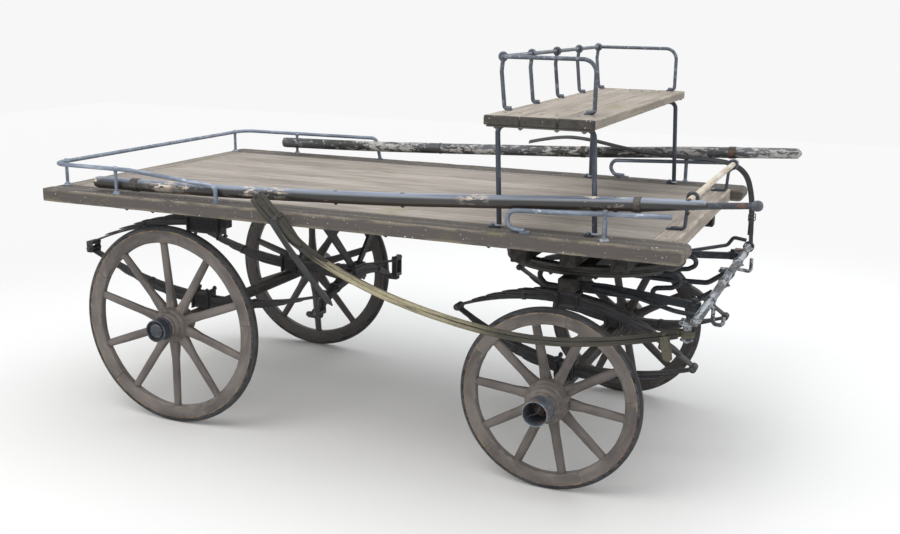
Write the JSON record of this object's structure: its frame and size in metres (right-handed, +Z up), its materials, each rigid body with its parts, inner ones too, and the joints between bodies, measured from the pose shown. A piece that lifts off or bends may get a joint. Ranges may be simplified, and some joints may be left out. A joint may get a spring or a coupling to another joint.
{
  "type": "horse-drawn flatbed dray",
  "caption": "Flatbed horse wagon with a driver's bench, low iron rails, leaf springs, a turning forecarriage and stowed shafts.",
  "frame": {"origin": "on the ground, midway between the wagon's ends and sides", "axes": "+X to the wagon's front, +Y to its far (left) side, +Z up"},
  "size_m": [3.6278, 1.9138, 1.9436],
  "materials": {
    "sill_wood": "weathered grey-brown, worn pale along the top edge",
    "deck_wood": "weathered grey-brown planks, dry and rough",
    "front_board_wood": "paler tan board, dry",
    "frame_wood": "old black paint, matt",
    "seat_wood": "weathered tan-grey with dark ends",
    "rail_iron": "worn pale blue-grey paint over steel",
    "rail_wood": "pale peeled wood",
    "spring_iron": "charcoal black paint, matt",
    "turntable_iron": "charcoal black paint, matt",
    "draught_iron": "silver-grey paint with rust",
    "axle_iron": "dark, dusty",
    "shaft_wood": "black gloss paint, peeled in places",
    "strap_leather": "dry grey-green leather, tan where worn",
    "wheel_wood": "old grey-brown paint with lighter worn edges",
    "tyre_rubber": "dark rubber in a black iron rim",
    "hub_iron": "worn blue-grey iron"
  },
  "bodies": {
    "bed": {"sill_near": "sill_wood", "sill_far": "sill_wood", "deck_boards": "deck_wood", "front_board": "front_board_wood", "rear_board": "sill_wood", "cross_bearer_rear": "frame_wood", "cross_bearer_middle": "frame_wood", "cross_bearer_front": "frame_wood", "chassis_beam_near": "frame_wood", "chassis_beam_far": "frame_wood", "gallery_rail": "rail_iron", "side_rail_near": "rail_iron", "side_rail_far": "rail_iron", "cross_rail": "rail_wood", "cross_rail_post_near": "rail_iron", "cross_rail_post_far": "rail_iron", "seat_board_rear": "seat_wood", "seat_board_middle": "seat_wood", "seat_board_front": "seat_wood", "seat_hoop_near": "rail_iron", "seat_hoop_far": "rail_iron", "seat_back": "rail_iron", "quarter_spring_near": "spring_iron", "quarter_spring_far": "spring_iron", "cross_spring": "spring_iron", "spring_struts": "spring_iron", "turntable_upper": "turntable_iron", "turntable_transoms": "frame_wood", "kingpin": "turntable_iron", "shaft_near": "shaft_wood", "shaft_far": "shaft_wood", "trace_near": "strap_leather", "trace_tail": "strap_leather", "strap_far": "strap_leather"},
    "forecarriage": {"turntable_lower": "turntable_iron", "bolster": "frame_wood", "splinter_bar": "draught_iron", "roller_bolts": "draught_iron", "futchell_near": "turntable_iron", "futchell_far": "turntable_iron", "ring_stay_near": "turntable_iron", "ring_stay_far": "turntable_iron"},
    "front_axle": {"front_axle": "axle_iron", "elliptic_spring_near": "spring_iron", "elliptic_spring_far": "spring_iron"},
    "rear_axle": {"rear_axle": "axle_iron", "side_spring_near": "spring_iron", "side_spring_far": "spring_iron"},
    "wheel_front_near": {"wheel_front_near_wood": "wheel_wood", "wheel_front_near_tyre": "tyre_rubber", "wheel_front_near_cap": "hub_iron"},
    "wheel_front_far": {"wheel_front_far_wood": "wheel_wood", "wheel_front_far_tyre": "tyre_rubber", "wheel_front_far_cap": "hub_iron"},
    "wheel_rear_near": {"wheel_rear_near_wood": "wheel_wood", "wheel_rear_near_tyre": "tyre_rubber", "wheel_rear_near_cap": "hub_iron"},
    "wheel_rear_far": {"wheel_rear_far_wood": "wheel_wood", "wheel_rear_far_tyre": "tyre_rubber", "wheel_rear_far_cap": "hub_iron"}
  },
  "joints": [
    {"name": "steer", "type": "hinge", "parent": "bed", "child": "forecarriage", "pos_m": [0.948, 0, 0.95], "axis": [0, 0, 1], "range_deg": [-80, 80], "deforming": ["trace_near", "strap_far"]},
    {"name": "front_suspension", "type": "slide", "parent": "forecarriage", "child": "front_axle", "axis": [0, 0, 1], "range_m": [0, 0.03], "stiffness_N_per_m": 160000, "springref_m": -0.02, "deforming": ["elliptic_spring_near", "elliptic_spring_far"]},
    {"name": "rear_suspension", "type": "slide", "parent": "bed", "child": "rear_axle", "axis": [0, 0, 1], "range_m": [0, 0.03], "stiffness_N_per_m": 120000, "springref_m": -0.02, "deforming": ["side_spring_near", "side_spring_far"]},
    {"name": "wheel_front_near_turns", "type": "hinge", "parent": "front_axle", "child": "wheel_front_near", "pos_m": [0.948, -0.6985, 0.426], "axis": [0, 1, 0], "continuous": true},
    {"name": "wheel_front_far_turns", "type": "hinge", "parent": "front_axle", "child": "wheel_front_far", "pos_m": [0.948, 0.6985, 0.426], "axis": [0, 1, 0], "continuous": true},
    {"name": "wheel_rear_near_turns", "type": "hinge", "parent": "rear_axle", "child": "wheel_rear_near", "pos_m": [-1.072, -0.7355, 0.52], "axis": [0, 1, 0], "continuous": true},
    {"name": "wheel_rear_far_turns", "type": "hinge", "parent": "rear_axle", "child": "wheel_rear_far", "pos_m": [-1.072, 0.7355, 0.52], "axis": [0, 1, 0], "continuous": true}
  ]
}
